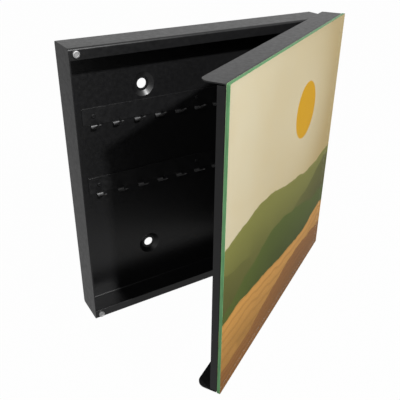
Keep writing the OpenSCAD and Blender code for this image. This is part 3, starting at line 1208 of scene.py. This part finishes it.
def pale_floor(name, glow, mirrored):
    """Floor that the camera sees nearly white: a share of plain white over a matt pale surface with shadows.

    What gloss mirrors of it fades from the wall's plane to fade_share of it at the Y fade_front.
    """
    fade_front = -0.45
    fade_share = 0.2
    s = Shader(name)
    s.plain("Roughness", 0.9)
    s.plain("Specular IOR Level", 0.0)
    near = s.spread(s.axes("Object")["Y"], fade_share, 1.0, start=fade_front, end=0.0)
    s.paint("Base Color", s.mottle(s.noise(scale=30.0, detail=3.0), WHITE[:3], 0.22, 0.24))
    light = s.add("ShaderNodeEmission")
    light.inputs["Strength"].default_value = 1.0
    shown = seen_rays(s.tree, s.math("MULTIPLY", near, mirrored))
    white = s.blend(s.math("MULTIPLY", shown, glow), s.surface.outputs["BSDF"], light.outputs["Emission"])
    s.link(white, s.out.inputs["Surface"])
    return s.material


def floor_plane(name, height, material, reach=6.0, lines=5):
    """Level grid of lines by lines points at a height, from -reach to reach in X and Y."""
    across = np.linspace(-reach, reach, lines)
    x, y = np.meshgrid(across, across, indexing="ij")
    points = np.stack([x, y, np.full_like(x, height)], -1).reshape(-1, 3)
    mesh = bpy.data.meshes.new(name)
    mesh.from_pydata(points.tolist(), [], grid_quads(lines, lines, False, False).tolist())
    mesh.materials.append(material)
    floor = bpy.data.objects.new(name, mesh)
    bpy.context.scene.collection.objects.link(floor)
    return floor


def soft_lamp(name, direction, distance, size, power):
    """Square area lamp at a distance from the origin along a direction, turned to face the origin."""
    data = bpy.data.lights.new(name, "AREA")
    data.shape = "SQUARE"
    data.size = size
    data.energy = power
    lamp = bpy.data.objects.new(name, data)
    towards = Vector(direction).normalized()
    lamp.location = towards * distance
    lamp.rotation_euler = towards.to_track_quat("Z", "Y").to_euler()
    bpy.context.scene.collection.objects.link(lamp)


def aimed_camera(name, stage):
    """Camera at its place, turned by azimuth and elevation and then by roll about its own axis.

    Its back is (sin a cos e, -cos a cos e, sin e), and right and up are square to it.
    """
    data = bpy.data.cameras.new(name)
    data.sensor_width = 36.0
    data.lens = stage.camera_lens
    data.shift_x, data.shift_y = stage.camera_shift
    data.clip_start = 0.01
    camera = bpy.data.objects.new(name, data)
    a = stage.camera_azimuth
    e = stage.camera_elevation
    back = Vector((math.sin(a) * math.cos(e), -math.cos(a) * math.cos(e), math.sin(e)))
    right = (-back).cross(Vector(UPWARDS)).normalized()
    up = right.cross(-back)
    turn = Matrix((right, up, back)).transposed() @ Matrix.Rotation(stage.camera_roll, 3, "Z")
    camera.matrix_world = Matrix.Translation(stage.camera_place) @ turn.to_4x4()
    bpy.context.scene.collection.objects.link(camera)
    return camera


class KEYBOX_OT_stage(bpy.types.Operator):
    """Makes the pale floor, the soft light and the camera"""

    bl_idname = "key_box.stage"
    bl_label = "Stage"

    def execute(self, context):
        scene = context.scene
        stage = scene.key_box_stage
        scene.view_settings.view_transform = "Standard"
        scene.world = pale_room("pale_room", stage.room_light, stage.room_mirrored)
        soft_lamp("key_lamp", stage.key_direction, stage.key_distance, stage.key_size, stage.key_power)
        soft_lamp("fill_lamp", stage.fill_direction, stage.fill_distance, stage.fill_size, stage.fill_power)
        surface = pale_floor("pale_floor", stage.floor_glow, stage.floor_mirrored)
        floor = floor_plane("floor", cad_box[0].z - stage.floor_gap, surface)
        scene.camera = aimed_camera("photo_camera", stage)
        return {"FINISHED"}


class KEYBOX_PT_dressing(bpy.types.Panel):
    """Lists the settings and the steps in the sidebar"""

    bl_idname = "KEYBOX_PT_dressing"
    bl_label = "Wall Key Box"
    bl_space_type = "VIEW_3D"
    bl_region_type = "UI"
    bl_category = "Key Box"

    def draw(self, context):
        layout = self.layout
        for name in SETTINGS:
            box = layout.box()
            group = getattr(context.scene, name)
            for key in group.bl_rna.properties.keys():
                if key not in ("rna_type", "name"):
                    box.prop(group, key)
        for step in STEPS:
            layout.operator(step.bl_idname)


SETTINGS = {
    "key_box_finishes": KeyBoxFinishes,
    "key_box_picture": KeyBoxPicture,
    "key_box_details": KeyBoxDetails,
    "key_box_stage": KeyBoxStage,
}
STEPS = (
    KEYBOX_OT_sheet_metal,
    KEYBOX_OT_hinge_arms,
    KEYBOX_OT_tapes,
    KEYBOX_OT_glass,
    KEYBOX_OT_picture,
    KEYBOX_OT_magnets,
    KEYBOX_OT_rivets,
    KEYBOX_OT_pins,
    KEYBOX_OT_nuts,
    KEYBOX_OT_stage,
)


def register():
    """Registers the settings, the steps and the panel."""
    for name, group in SETTINGS.items():
        bpy.utils.register_class(group)
        setattr(bpy.types.Scene, name, PointerProperty(type=group))
    for step in STEPS:
        bpy.utils.register_class(step)
    bpy.utils.register_class(KEYBOX_PT_dressing)


def unregister():
    """Takes the panel, the steps and the settings away again."""
    bpy.utils.unregister_class(KEYBOX_PT_dressing)
    for step in reversed(STEPS):
        bpy.utils.unregister_class(step)
    for name, group in reversed(SETTINGS.items()):
        delattr(bpy.types.Scene, name)
        bpy.utils.unregister_class(group)


def main():
    """Runs every step in order."""
    register()
    bpy.ops.key_box.sheet_metal()
    bpy.ops.key_box.hinge_arms()
    bpy.ops.key_box.tapes()
    bpy.ops.key_box.glass()
    bpy.ops.key_box.picture()
    bpy.ops.key_box.magnets()
    bpy.ops.key_box.rivets()
    bpy.ops.key_box.pins()
    bpy.ops.key_box.nuts()
    bpy.ops.key_box.stage()


if __name__ == "__main__":
    main()
